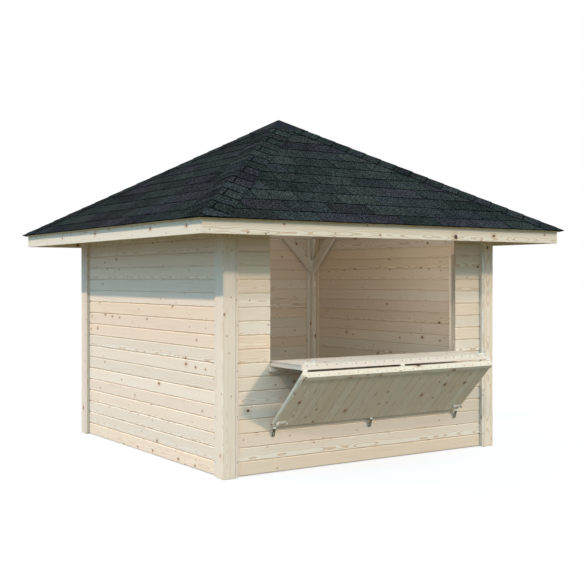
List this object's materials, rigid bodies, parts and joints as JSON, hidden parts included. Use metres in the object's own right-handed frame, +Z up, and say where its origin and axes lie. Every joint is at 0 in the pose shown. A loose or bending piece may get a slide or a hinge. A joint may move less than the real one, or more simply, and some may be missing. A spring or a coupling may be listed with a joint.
{
  "type": "wooden market stall",
  "caption": "Square pine market kiosk with a dark shingled pyramid roof, open eaves and a serving opening whose folding shutter makes the counter",
  "frame": {"origin": "on the ground, in the middle of the stall under the apex", "axes": "+Z up, the serving side faces -Y, +X to the right for someone facing the counter"},
  "size_m": [3.942, 3.9444, 3.2203],
  "materials": {
    "pine": "raw planed pine framing",
    "pine_boards": "raw planed pine boards with small knots",
    "roof_felt": "dark mottled bitumen shingles",
    "zinc": "galvanised steel"
  },
  "bodies": {
    "stall": {"post_front_left": "pine", "post_front_right": "pine", "post_back_left": "pine", "post_back_right": "pine", "plates_front_back": "pine", "plates_sides": "pine", "knee_braces": "pine", "left_wall": "pine_boards", "right_wall": "pine_boards", "back_wall": "pine_boards", "front_wall_left": "pine_boards", "front_wall_right": "pine_boards", "front_wall_below": "pine_boards", "front_wall_over": "pine_boards", "corner_trims": "pine", "jamb_studs": "pine", "sill_board": "pine", "counter_ledger": "pine", "door_frame": "pine", "door_leaf": "pine_boards", "door_fittings": "zinc", "apex_block": "pine", "hip_rafters": "pine", "common_rafters": "pine", "jack_rafters": "pine", "fascias_front_back": "pine_boards", "fascias_sides": "pine_boards", "roof_deck_front": "pine", "roof_deck_right": "pine", "roof_deck_back": "pine", "roof_deck_left": "pine", "shingles_front": "roof_felt", "shingles_right": "roof_felt", "shingles_back": "roof_felt", "shingles_left": "roof_felt", "hip_caps": "roof_felt", "apex_cap": "roof_felt", "sill_hinges": "zinc"},
    "counter": {"counter_panel": "pine_boards", "counter_hinges": "zinc", "counter_brackets": "zinc"},
    "flap": {"flap_panel": "pine_boards", "flap_hinges": "zinc", "flap_brackets": "zinc", "hasps": "zinc"}
  },
  "joints": [
    {"name": "counter_hinge", "type": "hinge", "parent": "stall", "child": "counter", "pos_m": [0, -1.462, 0.8825], "axis": [-1, 0, 0], "range_deg": [0, 90]},
    {"name": "flap_hinge", "type": "hinge", "parent": "counter", "child": "flap", "pos_m": [0, -1.93199, 0.8825], "axis": [-1, 0, 0], "range_deg": [0, 135]}
  ]
}
